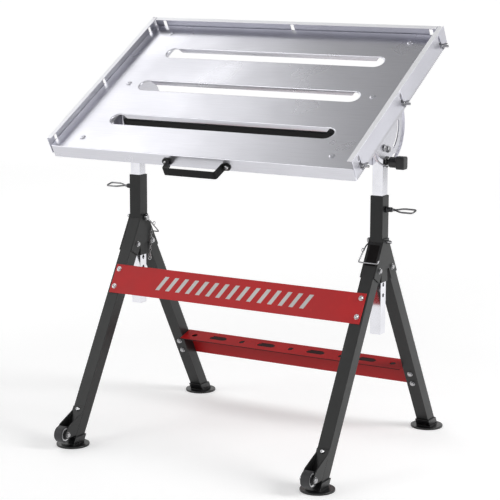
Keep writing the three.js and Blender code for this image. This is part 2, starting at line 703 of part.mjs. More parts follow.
// A plate behind the rear legs and a punched shelf folded forward from its top edge.
function toolTray() {
  const { thick, top } = TRAY;
  const { half, depth, slope, pitch, hole, slot } = SHELF;
  const tools = [];
  for (let i = -4; i <= 4; i += 1) {
    const length = i % 2 === 0 ? hole + 0.1 : slot;
    tools.push(plate('z', stadium(i * pitch, -depth / 2, length, hole), -5, 5));
  }
  const flat = cut(box(-half, half, -depth, 0, -thick, 0), tools);
  const tilt = new THREE.Matrix4().makeRotationX(THREE.MathUtils.degToRad(slope));
  const lift = new THREE.Matrix4().makeTranslation(0, legFace(top) + 2.5, top + 0.6);
  return join([rearStrip(TRAY), placed(flat, lift.multiply(tilt))]);
}

addPiece(group, 'tool_tray', redPaint, toolTray());

export default group;
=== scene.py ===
"""Looks of the folding welding table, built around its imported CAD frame. Metres, +Z up."""
import json
import math

import bmesh
import bpy
from mathutils import Matrix, Vector


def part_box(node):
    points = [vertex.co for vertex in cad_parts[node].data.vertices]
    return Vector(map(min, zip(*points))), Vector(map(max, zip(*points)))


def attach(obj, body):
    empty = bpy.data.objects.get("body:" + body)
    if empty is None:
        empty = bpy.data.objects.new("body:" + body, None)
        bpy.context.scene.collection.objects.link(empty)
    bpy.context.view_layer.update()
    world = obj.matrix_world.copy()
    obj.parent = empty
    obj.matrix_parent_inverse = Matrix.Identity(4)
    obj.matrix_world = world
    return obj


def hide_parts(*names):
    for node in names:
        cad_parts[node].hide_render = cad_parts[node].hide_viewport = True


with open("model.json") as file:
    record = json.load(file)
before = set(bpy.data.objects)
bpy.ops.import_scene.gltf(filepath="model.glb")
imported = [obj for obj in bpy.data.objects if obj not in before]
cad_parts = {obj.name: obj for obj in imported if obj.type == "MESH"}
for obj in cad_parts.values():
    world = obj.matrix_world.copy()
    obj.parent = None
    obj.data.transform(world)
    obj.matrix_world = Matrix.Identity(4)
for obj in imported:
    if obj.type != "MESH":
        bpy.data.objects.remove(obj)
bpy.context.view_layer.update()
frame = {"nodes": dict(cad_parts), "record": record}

MM = 0.001
NODES = frame["nodes"]
RECORD = frame["record"]
JOINTS = {joint["name"]: joint for joint in RECORD["behaviour"]["joints"]}
BODY_OF = {node: body for body, nodes in RECORD["behaviour"]["bodies"].items() for node in nodes}
SLOT_OF = {row["node"]: row["material_slot"] for row in RECORD["subparts"]}
SIDES = {"right": 1, "left": -1}
WING_NUTS = [name for name in BODY_OF if name.startswith("wing_nut")]


# ------------------------------------------------------------ places, from the frame's joints

def joint_place(name):
    """Where a joint's axis passes, at rest."""
    return Vector(JOINTS[name]["pos_m"])


PIVOT = joint_place("table_tilt")
MID_Y = PIVOT.y
NORMAL = Vector(JOINTS["rail_back_slide"]["axis"])
TILT = math.atan2(-NORMAL.y, NORMAL.z)
TABLE = Matrix.Translation(PIVOT) @ Matrix.Rotation(TILT, 4, "X")

# The top in its own frame: x across, y front to back, z square to the surface. Its origin is on the
# tilt axis.
TOP_HALF_X = 381 * MM
TOP_HALF_Y = 250 * MM
SURFACE = 78 * MM
SHEET = 2.5 * MM
FLANGE = 30 * MM
SLOT_PITCH = 134.5 * MM
SLOT_REACH = 264 * MM
SLOT_HALF = 19 * MM
SLOT_LIP = 12 * MM
HANDLE_DROP = 19 * MM
HANDLE_END = 86 * MM
HANDLE_BOLT_X = 76.5 * MM
TOP_BOLT_X = 314.5 * MM
TOP_BOLT_ROWS = [-212 * MM, 2 * MM, 213 * MM]

# The frame and legs in world space. The legs' outer faces leave the sleeves at KINK_Z.
FRAME_X = 317 * MM
LEG_ANGLE = math.radians(30)
LEG = 30 * MM
KINK_Z = 490 * MM
LOCK_PIN_Z = KINK_Z
PULL_PIN_Z = 562 * MM
RING_LEAN = math.radians(12)
BAIL_LEAN = math.radians(50)
BRACKET_FACE = 332.5 * MM
# The heights between which the tray's upright face darkens, as painted shade under the shelf.
TRAY_SHADE_HEIGHTS = (110 * MM, 176 * MM)
PANEL_BOLT_HEIGHTS = (376 * MM, 339 * MM)
TRAY_BOLT_HEIGHTS = (150 * MM, 124 * MM)
WHEEL_BRACKET_BOLT_Z = 77.5 * MM

# Each bolt's shank, from its nut to its head, in mm from the middle of the table.
HINGE_BOLTS = {
    "tilt_pivot_bolt": (301.4, 332.6),
    "leg_pivot_bolt_front": (299.1, 334.9),
    "leg_pivot_bolt_rear": (299.1, 334.9),
    "wheel_axle": (301.9, 332.1),
}

# Paired nodes that keep their CAD shape, with the width of their softened edges in mm.
PAIRED = {
    "side_bracket": 0.6, "post": 2.2, "sleeve": 1.6, "gusset_outer": 0.7, "gusset_inner": 0.7,
    "front_leg": 1.8, "rear_leg": 1.8, "foot_front": 1.0, "foot_rear": 1.0, "wheel_bracket": 0.6,
}

SHARP_ANGLE = math.radians(38)
WELD_DISTANCE = 0.001 * MM


def leg_face(z):
    """How far in front of or behind the posts a leg's outer face is at a height."""
    return LEG / 2 + (KINK_Z - z) * math.tan(LEG_ANGLE)


# ------------------------------------------------------------ materials

def node_tree(name):
    """A new material, with its node tree and its shader."""
    material = bpy.data.materials.new(name)
    material.use_nodes = True
    tree = material.node_tree
    return material, tree, tree.nodes["Principled BSDF"]


def noise(tree, scale, detail, roughness=0.5, stretch=(1, 1, 1)):
    """A noise texture in object space, stretched along an axis where that axis's factor is small."""
    place = tree.nodes.new("ShaderNodeTexCoord")
    mapping = tree.nodes.new("ShaderNodeMapping")
    mapping.inputs["Scale"].default_value = stretch
    texture = tree.nodes.new("ShaderNodeTexNoise")
    texture.inputs["Scale"].default_value = scale
    texture.inputs["Detail"].default_value = detail
    texture.inputs["Roughness"].default_value = roughness
    tree.links.new(place.outputs["Object"], mapping.inputs["Vector"])
    tree.links.new(mapping.outputs["Vector"], texture.inputs["Vector"])
    return texture.outputs["Fac"]


def ramp(tree, factor, stops):
    """A colour ramp from (position, colour or grey) stops."""
    node = tree.nodes.new("ShaderNodeValToRGB")
    elements = node.color_ramp.elements
    while len(elements) < len(stops):
        elements.new(0.5)
    for element, (position, colour) in zip(elements, stops):
        element.position = position
        element.color = (*colour, 1) if isinstance(colour, tuple) else (colour, colour, colour, 1)
    tree.links.new(factor, node.inputs["Fac"])
    return node.outputs["Color"]


def height_ramp(tree, space, low, high, stops):
    """A colour ramp up z, from low to high, in the named output of the texture coordinates."""
    place = tree.nodes.new("ShaderNodeTexCoord")
    split = tree.nodes.new("ShaderNodeSeparateXYZ")
    height = tree.nodes.new("ShaderNodeMapRange")
    height.inputs["From Min"].default_value = low
    height.inputs["From Max"].default_value = high
    tree.links.new(place.outputs[space], split.inputs["Vector"])
    tree.links.new(split.outputs["Z"], height.inputs["Value"])
    return ramp(tree, height.outputs["Result"], stops)


def mix(tree, factor, first, second):
    """Blends two colours by a factor output."""
    node = tree.nodes.new("ShaderNodeMix")
    node.data_type = "RGBA"
    tree.links.new(factor, node.inputs["Factor"])
    tree.links.new(first, node.inputs["A"])
    tree.links.new(second, node.inputs["B"])
    return node.outputs["Result"]


def bump(tree, shader, heights, distance):
    """Chains bumps from (height, strength) pairs into the shader's normal."""
    previous = None
    for height, strength in heights:
        node = tree.nodes.new("ShaderNodeBump")
        node.inputs["Strength"].default_value = strength
        node.inputs["Distance"].default_value = distance
        tree.links.new(height, node.inputs["Height"])
        if previous is not None:
            tree.links.new(previous, node.inputs["Normal"])
        previous = node.outputs["Normal"]
    tree.links.new(previous, shader.inputs["Normal"])


def shade(colour, factor):
    """A colour made darker or lighter."""
    return tuple(channel * factor for channel in colour)


def brushed_steel(name, colour, roughness, grain, brush=(0.02, 1, 1)):
    """Sheet steel with fine brush lines along x, soft smudges and a few longer scratches."""
    material, tree, shader = node_tree(name)
    lines = noise(tree, grain, 4, 0.65, brush)
    smudges = noise(tree, 5, 3, 0.55)
    scratches = noise(tree, grain * 0.45, 2, 0.4, (0.008, 1, 1))
    streaks = ramp(tree, lines, [(0.25, shade(colour, 0.93)), (0.75, shade(colour, 1.04))])
    patches = ramp(tree, lines, [(0.25, shade(colour, 0.86)), (0.75, shade(colour, 0.98))])
    tree.links.new(mix(tree, smudges, streaks, patches), shader.inputs["Base Color"])
    polish = ramp(tree, smudges, [(0.3, roughness * 0.85), (0.7, roughness * 1.25)])
    tree.links.new(polish, shader.inputs["Roughness"])
    shader.inputs["Metallic"].default_value = 1
    bump(tree, shader, [(lines, 0.05), (scratches, 0.035)], 0.0004)
    return material


def plated(name, colour, roughness, mottle):
    """Chrome or zinc plate: bright, with a faint cloudy mottle."""
    material, tree, shader = node_tree(name)
    cloud = noise(tree, mottle, 4, 0.6)
    fine = noise(tree, mottle * 9, 2, 0.5)
    tint = ramp(tree, cloud, [(0.3, shade(colour, 0.9)), (0.5, colour), (0.72, shade(colour, 1.05))])
    tree.links.new(tint, shader.inputs["Base Color"])
    polish = ramp(tree, cloud, [(0.3, roughness * 0.8), (0.7, roughness * 1.3)])
    tree.links.new(polish, shader.inputs["Roughness"])
    shader.inputs["Metallic"].default_value = 1
    bump(tree, shader, [(fine, 0.02)], 0.0002)
    return material


def powder_coat(name, colour, roughness, shine):
    """Baked paint with orange peel, a dusty sheen that varies, and small scuffs."""
    material, tree, shader = node_tree(name)
    peel = noise(tree, 900, 2, 0.5)
    waves = noise(tree, 160, 2, 0.4)
    dust = noise(tree, 9, 4, 0.6)
    scuffs = noise(tree, 60, 5, 0.7, (1, 1, 0.25))
    paint = ramp(tree, dust, [(0.3, shade(colour, 0.88)), (0.7, shade(colour, 1.1))])
    worn = ramp(tree, dust, [(0.3, shade(colour, 1.25)), (0.7, shade(colour, 1.55))])
    wear = ramp(tree, scuffs, [(0.66, 0.0), (0.74, 0.55)])
    tree.links.new(mix(tree, wear, paint, worn), shader.inputs["Base Color"])
    haze = ramp(tree, dust, [(0.3, roughness * 0.85), (0.7, roughness * 1.15)])
    tree.links.new(haze, shader.inputs["Roughness"])
    shader.inputs["Specular IOR Level"].default_value = shine
    bump(tree, shader, [(peel, 0.07), (waves, 0.05)], 0.0004)
    return material


def moulded_plastic(name, colour, roughness):
    """Hard plastic with a fine spark-eroded grain."""
    material, tree, shader = node_tree(name)
    grain = noise(tree, 1400, 2, 0.5)
    sheen = noise(tree, 30, 3, 0.5)
    tint = ramp(tree, sheen, [(0.3, shade(colour, 0.85)), (0.7, shade(colour, 1.2))])
    tree.links.new(tint, shader.inputs["Base Color"])
    haze = ramp(tree, sheen, [(0.3, roughness * 0.85), (0.7, roughness * 1.15)])
    tree.links.new(haze, shader.inputs["Roughness"])
    bump(tree, shader, [(grain, 0.12)], 0.0003)
    return material


def tray_face():
    """The tray's upright face: red paint with painted shade that darkens it to near black where the
    shelf overhangs it.
    """
    material, tree, shader = node_tree("red_tray_face_painted_shade")
    red, deep, painted_shade = (0.33, 0.007, 0.008), (0.25, 0.005, 0.006), (0.02, 0.002, 0.002)
    # Painted shade: the red darkens up the face to near black towards the shelf above it.
    fade = height_ramp(tree, "Object", *TRAY_SHADE_HEIGHTS, [(0.0, red), (0.6, deep), (0.72, painted_shade)])
    dust = noise(tree, 9, 4, 0.6)
    streaks = ramp(tree, dust, [(0.3, shade(deep, 0.8)), (0.7, shade(deep, 1.2))])
    blend = ramp(tree, dust, [(0.55, 0.0), (0.8, 0.25)])
    tree.links.new(mix(tree, blend, fade, streaks), shader.inputs["Base Color"])
    shader.inputs["Roughness"].default_value = 0.42
    shader.inputs["Specular IOR Level"].default_value = 0.2
    bump(tree, shader, [(noise(tree, 900, 2, 0.5), 0.07)], 0.0004)
    return material


MATERIALS = {
    "top_steel": brushed_steel("brushed_top_steel", (0.69, 0.69, 0.735), 0.29, 700),
    "rail_steel": brushed_steel("brushed_rail_steel", (0.71, 0.71, 0.77), 0.38, 800),
    "bracket_steel": brushed_steel("bracket_steel", (0.76, 0.76, 0.81), 0.34, 500, (1, 0.05, 1)),
    "chrome": plated("chrome_plate", (0.76, 0.76, 0.80), 0.12, 14),
    "zinc": plated("zinc_plate", (0.44, 0.44, 0.45), 0.20, 120),
    "black_paint": powder_coat("charcoal_powder_coat", (0.012, 0.0125, 0.0125), 0.36, 0.3),
    "red_paint": powder_coat("red_powder_coat", (0.45, 0.016, 0.018), 0.40, 0.22),
    "black_plastic": moulded_plastic("black_plastic", (0.004, 0.004, 0.0045), 0.30),
    "wheel_plastic": moulded_plastic("wheel_plastic", (0.020, 0.020, 0.022), 0.5),
}
TRAY_PAINT = powder_coat("red_tray_powder_coat", (0.37, 0.008, 0.010), 0.40, 0.2)
# Painted shade: a near-black copy of the tray's red, for the tray's faces that look down.
TRAY_PAINTED_SHADE = powder_coat("red_tray_underside_painted_shade", (0.05, 0.003, 0.003), 0.6, 0.1)
TRAY_FACE = tray_face()
RIM_PLASTIC = moulded_plastic("grey_rim_plastic", (0.42, 0.42, 0.43), 0.45)
MOTIF_PAINT = powder_coat("light_grey_motif_paint", (0.55, 0.54, 0.53), 0.42, 0.3)
LABEL_FILM = powder_coat("label_film", (0.003, 0.002, 0.002), 0.5, 0.12)
# Painted shade: the back rail's steel is a darker copy of the other rails' steel.
BACK_RAIL_SHADED = brushed_steel("brushed_back_rail_steel_painted_shade", (0.50, 0.50, 0.56), 0.38, 800)
# Painted highlight: a near-white, less metallic copy of the rail steel for the rails' faces that look
# up, along their top edges.
RAIL_TOP_HIGHLIGHT = brushed_steel("rail_top_painted_highlight", (0.95, 0.95, 0.98), 0.5, 800)
RAIL_TOP_HIGHLIGHT.node_tree.nodes["Principled BSDF"].inputs["Metallic"].default_value = 0.35
BLACK_OXIDE = plated("black_oxide", (0.06, 0.06, 0.063), 0.30, 90)
DARK_WIRE = plated("dark_spring_wire", (0.20, 0.20, 0.205), 0.16, 90)
CAST_ZINC = plated("cast_zinc", (0.32, 0.32, 0.33), 0.18, 120)
GLOSS_BLACK = powder_coat("gloss_black_powder_coat", (0.003, 0.003, 0.003), 0.30, 0.15)


# ------------------------------------------------------------ making pieces

def new_piece(name, bm, materials):
    """Turns a smooth-shaded bmesh, placed in world space at rest, into an object."""
    for face in bm.faces:
        face.smooth = True
    mesh = bpy.data.meshes.new(name)
    bm.to_mesh(mesh)
    bm.free()
    for material in materials:
        mesh.materials.append(material)
    piece = bpy.data.objects.new(name, mesh)
    bpy.context.scene.collection.objects.link(piece)
    return piece


def finish_piece(name, bm, body, slot, materials=None, bevel=0.0, replaces=()):
    """Makes a piece that rides on a body, with sharp corners kept crisp or softened by a bevel."""
    bmesh.ops.remove_doubles(bm, verts=bm.verts, dist=WELD_DISTANCE)
    bmesh.ops.recalc_face_normals(bm, faces=bm.faces)
    for edge in bm.edges:
        edge.smooth = edge.calc_face_angle(0) < SHARP_ANGLE
    piece = new_piece(name, bm, materials or [MATERIALS[slot]])
    if bevel:
        edges = piece.modifiers.new("soft edges", "BEVEL")
        edges.width = bevel
        edges.segments = 2
        edges.limit_method = "ANGLE"
        edges.angle_limit = SHARP_ANGLE
    normals = piece.modifiers.new("even shading", "WEIGHTED_NORMAL")
    normals.keep_sharp = not bevel
    normals.weight = 80
    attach(piece, body)
    if replaces:
        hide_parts(*replaces)


def refined(node, bevel, materials=None, *facings):
    """The CAD node's own shape with its flat faces merged and its edges softened.

    Faces that look along the first of `facings` take the second material, and so on."""
    bm = bmesh.new()
    bm.from_mesh(NODES[node].data)
    bmesh.ops.remove_doubles(bm, verts=bm.verts, dist=WELD_DISTANCE)
    bmesh.ops.dissolve_limit(bm, angle_limit=math.radians(1), verts=bm.verts, edges=bm.edges)
    for index, facing in enumerate(facings, 1):
        for face in bm.faces:
            if face.normal.dot(facing) > 0.9:
                face.material_index = index
    finish_piece(node + "_finish", bm, BODY_OF[node], SLOT_OF[node], materials, bevel=bevel * MM,
                 replaces=[node])


def full_turn(steps):
    """Evenly spaced angles, once round."""
    return [2 * math.pi * i / steps for i in range(steps)]


def skin(bm, rings):
    """Joins each ring of vertices to the next with four-sided faces."""
    for first, second in zip(rings, rings[1:]):
        for i in range(len(first)):
            j = (i + 1) % len(first)
            bm.faces.new([first[i], first[j], second[j], second[i]])


def frame_on(axis):
    """A rotation whose z runs along an axis."""
    return Vector(axis).to_track_quat("Z", "Y").to_matrix().to_4x4()


def turned(bm, profile, place, axis, segments=32, material=0):
    """Adds a lathe shape: (radius, height) points in mm along an axis from a place."""
    matrix = Matrix.Translation(place) @ frame_on(axis)
    rings = []
    for radius, height in profile:
        if radius == 0:
            rings.append([bm.verts.new(matrix @ Vector((0, 0, height * MM)))])
            continue
        ring = []
        for angle in full_turn(segments):
            point = Vector((radius * math.cos(angle), radius * math.sin(angle), height)) * MM
            ring.append(bm.verts.new(matrix @ point))
        rings.append(ring)
    for low, high in zip(rings, rings[1:]):
        for i in range(segments):
            j = (i + 1) % segments
            loop = [low[i % len(low)], low[j % len(low)], high[j % len(high)], high[i % len(high)]]
            unique = list(dict.fromkeys(loop))
            if len(unique) > 2:
                bm.faces.new(unique).material_index = material


def socket_head(bm, place, axis, radius, height):
    """A domed cap with a hexagonal socket."""
    socket = radius * 0.45
    inside = [(0, height * 0.35), (socket, height * 0.35), (socket, height)]
    dome = [(radius * 0.62, height), (radius * 0.86, height * 0.72), (radius, height * 0.25)]
    turned(bm, inside + dome + [(radius, 0), (0, 0)], place, axis, 24)


def hex_head(bm, place, axis, radius, height):
    """A washer under a chamfered hexagon."""
    turned(bm, [(0, 0), (radius * 1.2, 0), (radius * 1.2, 1.0), (0, 1.0)], place, axis, 28)
    up = Vector(axis).normalized() * MM
    sides = [(0, 0), (radius, 0), (radius, height - 0.7), (radius * 0.86, height), (0, height)]
    turned(bm, sides, Vector(place) + up, axis, 6)


def sweep(bm, points, radius, sides=12, closed=False):
    """Adds a round wire through points, carrying its section along without twist."""
    count = len(points)
    tangents = []
    for i in range(count):
        ahead = points[(i + 1) % count] if closed or i < count - 1 else points[i]
        behind = points[i - 1] if closed or i > 0 else points[i]
        tangents.append((ahead - behind).normalized())
    across = tangents[0].orthogonal().normalized()
    rings = []
    for point, tangent in zip(points, tangents):
        across = (across - tangent * across.dot(tangent)).normalized()
        other = tangent.cross(across)
        ring = []
        for angle in full_turn(sides):
            offset = (across * math.cos(angle) + other * math.sin(angle)) * radius
            ring.append(bm.verts.new(point + offset))
        rings.append(ring)
    if closed:
        skin(bm, rings + rings[:1])
    else:
        skin(bm, rings)
        bm.faces.new(rings[0])
        bm.faces.new(rings[-1])


def rounded(points, bend, steps):
    """Straight runs between points, with each inner corner turned into an arc-like bend."""
    points = [Vector(point) for point in points]
    path = [points[0]]
    for before, corner, after in zip(points, points[1:], points[2:]):
        start = corner + (before - corner).normalized() * bend
        end = corner + (after - corner).normalized() * bend
        for i in range(steps + 1):
            t = i / steps
            path.append(start * (1 - t) ** 2 + corner * 2 * t * (1 - t) + end * t ** 2)
    path.append(points[-1])
    return path


def extrude_outline(bm, outline, place, depth):
    """A prism: an outline of (u, v) pairs placed by a matrix and made deep along its z."""
    bottom = [bm.verts.new(place @ Vector((u, v, 0))) for u, v in outline]
    top = [bm.verts.new(place @ Vector((u, v, depth))) for u, v in outline]
    bm.faces.new(bottom)
    bm.faces.new(top)
    skin(bm, [bottom, top])


# ------------------------------------------------------------ the top

def slot_ring(y, radius, z, lip=0.0):
    """Points round a long slot. A lip hangs from the straight edges and stops short of the ends."""
    steps = 16
    inner = SLOT_REACH - 9 * MM
    points = []
    for side in (1, -1):
        for i in range(steps + 1):
            angle = math.radians(90 * (1 - side) - 90 + 180 * i / steps)
            x = side * SLOT_REACH + radius * math.cos(angle)
            points.append(Vector((x, y + radius * math.sin(angle), z)))
        points.append(Vector((side * inner, y + side * radius, z - lip)))
        points.append(Vector((-side * inner, y + side * radius, z - lip)))
    return points


def outer_ring(inset, z):
    """Points round the top's edge, drawn in by an inset, with small round corners."""
    radius = max(4 * MM - inset, 1 * MM)
    points = []
    for sx, sy, start in ((1, -1, -90), (1, 1, 0), (-1, 1, 90), (-1, -1, 180)):
        centre = Vector((sx * (TOP_HALF_X - inset - radius), sy * (TOP_HALF_Y - inset - radius), z))
        for i in range(5):
            angle = math.radians(start + 90 * i / 4)
            points.append(centre + Vector((math.cos(angle), math.sin(angle), 0)) * radius)
    return points


def edge_loop(bm, ring):
    """The edges round a ring of vertices, made where they are missing."""
    return [bm.edges.get(pair) or bm.edges.new(pair) for pair in zip(ring, ring[1:] + ring[:1])]


def make_top():
    """One pressed sheet: rounded bends down to the flanges and into each slot's lips."""
    bm = bmesh.new()

    def wall(outlines):
        rings = [[bm.verts.new(TABLE @ point) for point in outline] for outline in outlines]
        skin(bm, rings)
        return edge_loop(bm, rings[0])

    # Each step of a bend: how far it lies in from the wall below it, and how far under the surface.
    steps = 5
    quarter = [math.pi / 2 * i / steps for i in range(steps + 1)]
    bends = [(SHEET * (1 - math.sin(angle)), SHEET * (1 - math.cos(angle))) for angle in quarter]
    outlines = [outer_ring(inset, SURFACE - drop) for inset, drop in bends]
    fill = wall(outlines + [outer_ring(0, SURFACE - FLANGE)])
    lip_start = SHEET + 0.3 * MM
    for y in (-SLOT_PITCH, 0, SLOT_PITCH):
        outlines = [slot_ring(y, SLOT_HALF + inset, SURFACE - drop) for inset, drop in bends]
        lip = slot_ring(y, SLOT_HALF, SURFACE - lip_start, SLOT_LIP - lip_start)
        fill += wall(outlines + [lip])
    bmesh.ops.triangle_fill(bm, use_beauty=True, edges=fill)
    bmesh.ops.recalc_face_normals(bm, faces=bm.faces)
    top_face = max(bm.faces, key=lambda face: face.calc_area())
    if top_face.normal.dot(NORMAL) < 0:
        bmesh.ops.reverse_faces(bm, faces=bm.faces)
    piece = new_piece("tabletop_sheet", bm, [MATERIALS["top_steel"]])
    thick = piece.modifiers.new("sheet", "SOLIDIFY")
    thick.thickness = SHEET - 0.1 * MM
    thick.offset = -1
    normals = piece.modifiers.new("even shading", "WEIGHTED_NORMAL")
    normals.weight = 80
    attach(piece, "table")
    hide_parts("tabletop")


def make_top_fasteners():
    """Cap bolts through the top, and the carriage studs that the rails slide on."""
    bm = bmesh.new()
    for side in SIDES.values():
        for y in TOP_BOLT_ROWS:
            place = TABLE @ Vector((side * TOP_BOLT_X, y, SURFACE - 0.2 * MM))
            head = [(0, 1.6), (2.6, 1.6), (2.6, 2.4), (4.6, 2.4), (6.6, 1.2), (6.9, 0), (0, 0)]
            turned(bm, head, place, NORMAL)
    finish_piece("top_bolts", bm, "table", "top_steel")
    bm = bmesh.new()
    for name in WING_NUTS:
        joint = JOINTS[name + "_turn"]
        axis = Vector(joint["axis"])
        place = Vector(joint["pos_m"])
        reach = TOP_HALF_Y if name.startswith("wing_nut_back") else TOP_HALF_X
        local = TABLE.inverted() @ place
        along = local.y if name.startswith("wing_nut_back") else abs(local.x)
        flange = place + axis * (reach - along)
        stud = [(0, -4.6), (4, -4.6), (6, -3.4), (6, -2.6), (3, -2.6), (3, 20), (2.4, 20.8), (0, 20.8)]
        turned(bm, stud, flange, axis, 20)
        washer = [(3.4, 2.35), (6.6, 2.35), (6.6, 3.0), (3.4, 3.0), (3.4, 2.35)]
        turned(bm, washer, flange, axis, 24)
    finish_piece("carriage_studs", bm, "table", "zinc")


def make_wing_nut(name):
    """A cast hub with two ears that lean outward."""
    axis = Vector(JOINTS[name + "_turn"]["axis"])
    pivot = joint_place(name + "_turn")
    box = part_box(name)
    centre = (Vector(box[0]) + Vector(box[1])) / 2
    place = pivot + axis * ((centre - pivot).dot(axis) - 6.5 * MM)
    bm = bmesh.new()
    hub = [(3.4, 0.4), (5.6, 0.4), (5.2, 5.4), (4.4, 6.8), (3.4, 6.8), (3.4, 0.4)]
    turned(bm, hub, place, axis, 28)
    spread = (TABLE.to_3x3() @ Vector((0, 1, 0))) if abs(axis.x) > 0.5 else Vector((1, 0, 0))
    normal = axis.cross(spread)
    ear = [(1.2, 4.0), (3.0, 8.0), (6.5, 11.6), (9.6, 12.4), (11.8, 11.6), (12.6, 9.6), (11.0, 7.6),
           (7.2, 5.4), (5.6, 4.2)]
    for side in (1, -1):
        basis = Matrix((axis, spread * side, normal)).transposed().to_4x4()
        matrix = Matrix.Translation(place - normal * 1.2 * MM) @ basis
        extrude_outline(bm, [(u * MM, v * MM) for u, v in ear], matrix, 2.4 * MM)
    finish_piece(name + "_cast", bm, BODY_OF[name], "zinc", [CAST_ZINC], bevel=0.5 * MM,
                 replaces=[name])


def make_handle():
    """A bent strap: round ears on the flange, slanted legs and a straight grip."""
    half_width = 9.3 * MM
    half_sheet = 1.5 * MM
    face = -TOP_HALF_Y - 1.9 * MM
    grip = face - 32 * MM
    foot_x, grip_x = 68.6 * MM, 65 * MM
    corners = [(-HANDLE_END, face, 0), (-foot_x, face, 0), (-grip_x, grip, 0),
               (grip_x, grip, 0), (foot_x, face, 0), (HANDLE_END, face, 0)]
    path = rounded(corners, 4 * MM, 5)
    dense = []
    for a, b in zip(path, path[1:]):
        pieces = max(1, int((b - a).length / (2.2 * MM)))
        dense += [a.lerp(b, i / pieces) for i in range(pieces)]
    dense.append(path[-1])
    bm = bmesh.new()
    rings = []
    middle = SURFACE - HANDLE_DROP
    for i, point in enumerate(dense):
        ahead = dense[min(i + 1, len(dense) - 1)]
        behind = dense[max(i - 1, 0)]
        along = (ahead - behind).normalized()
        out = Vector((along.y, -along.x, 0)) * half_sheet
        inside = max(0.0, half_width - (HANDLE_END - abs(point.x)))
        width = math.sqrt(max(half_width ** 2 - inside ** 2, (1.2 * MM) ** 2))
        low, high = Vector((0, 0, middle - width)), Vector((0, 0, middle + width))
        corners = [point + out + low, point + out + high, point - out + high, point - out + low]
        rings.append([bm.verts.new(TABLE @ corner) for corner in corners])
    skin(bm, rings)
    bm.faces.new(rings[0])
    bm.faces.new(rings[-1])
    finish_piece("handle_strap", bm, "table", "black_paint", [GLOSS_BLACK], bevel=0.6 * MM,
                 replaces=["handle"])
    bm = bmesh.new()
    forward = TABLE.to_3x3() @ Vector((0, -1, 0))
    for side in SIDES.values():
        place = TABLE @ Vector((side * HANDLE_BOLT_X, face - 1.4 * MM, middle))
        socket_head(bm, place, forward, 5.2, 3.2)
    finish_piece("handle_bolts", bm, "table", "zinc")


# ------------------------------------------------------------ brackets, knobs and pins

def make_bracket_bolts(side_name):
    """Two bolts low on the bracket's outer plate, given by their angle from straight down and radius."""
    side = SIDES[side_name]
    bm = bmesh.new()
    for degrees, radius in ((-21, 45), (4, 47)):
        angle = math.radians(degrees)
        y = PIVOT.y + radius * MM * math.sin(angle)
        z = PIVOT.z - radius * MM * math.cos(angle)
        hex_head(bm, (side * (BRACKET_FACE + 0.1 * MM), y, z), (side, 0, 0), 6.6, 4.2)
    finish_piece(f"bracket_bolts_{side_name}", bm, "table", "zinc", [CAST_ZINC])


def make_tilt_knob(side_name):
    """A stud, two washers, a round neck and a rounded bar grip with a sunk end."""
    side = SIDES[side_name]
    node = f"tilt_knob_{side_name}"
    axis = (side, 0, 0)
    centre = joint_place(node + "_turn")

    def on_axis(reach):
        return Vector((side * reach * MM, centre.y, centre.z))

    neck = on_axis(336.2)
    bm = bmesh.new()
    profile = [(0, 0), (6, 0), (6, 3.2), (9.5, 4), (11.8, 5.5), (11.8, 20), (10.4, 24), (0, 24)]
    turned(bm, profile, neck, axis, 40)
    half_y, half_z, corner, start, end = 10.6, 14.2, 4, 21.6, 42.2
    outline = []
    for sy, sz, first in ((1, 1, 0), (-1, 1, 90), (-1, -1, 180), (1, -1, 270)):
        for i in range(6):
            angle = math.radians(first + 90 * i / 5)
            outline.append((sy * (half_y - corner) + corner * math.cos(angle),
                            sz * (half_z - corner) + corner * math.sin(angle)))
    levels = [(0.80, start), (1.0, start + 2), (1.0, end - 2), (0.94, end - 0.5), (0.86, end)]
    rings = []
    for scale, depth in levels:
        ring = []
        for y, z in outline:
            offset = Vector((side * (depth - 0.6), y * scale, z * scale)) * MM
            ring.append(bm.verts.new(neck + offset))
        rings.append(ring)
    skin(bm, rings)
    bm.faces.new(rings[0])
    cap = bm.faces.new(rings[-1])
    bmesh.ops.inset_region(bm, faces=[cap], thickness=2.2 * MM, depth=-1.2 * MM)
    finish_piece(node + "_moulded", bm, BODY_OF[node], "black_plastic", replaces=[node])
    bm = bmesh.new()
    turned(bm, [(0, 0), (3.9, 0), (3.9, 19), (0, 19)], on_axis(317.5), axis, 24)
    washer = [(3.9, 0), (8.2, 0), (8.2, 0.9), (3.9, 0.9), (3.9, 0)]
    turned(bm, washer, on_axis(334.7), axis, 32)
    finish_piece(node + "_stud", bm, BODY_OF[node], "zinc")
    bm = bmesh.new()
    ring = [(3.9, 0), (11.8, 0), (12.4, 0.5), (12.4, 1.4), (11.8, 1.9), (3.9, 1.9), (3.9, 0)]
    turned(bm, ring, on_axis(332.7), axis, 40)
    finish_piece(node + "_washer", bm, BODY_OF[node], "black_plastic")


def make_hinge_bolt(node, inside, outside):
    """A bolt along x: shank, hex head outside and nut inside, in place of the CAD bolt."""
    radius = 4
    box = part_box(node)
    centre = (Vector(box[0]) + Vector(box[1])) / 2
    side = 1 if centre.x > 0 else -1
    inner = Vector((side * inside * MM, centre.y, centre.z))
    outer = Vector((side * outside * MM, centre.y, centre.z))
    bm = bmesh.new()
    length = outside - inside
    turned(bm, [(0, 0), (radius, 0), (radius, length), (0, length)], inner, (side, 0, 0), 24)
    hex_head(bm, outer, (side, 0, 0), 5.6, 3.4)
    hex_head(bm, inner, (-side, 0, 0), 5.6, 3.4)
    finish_piece(node + "_hex", bm, BODY_OF[node], "zinc", replaces=[node])


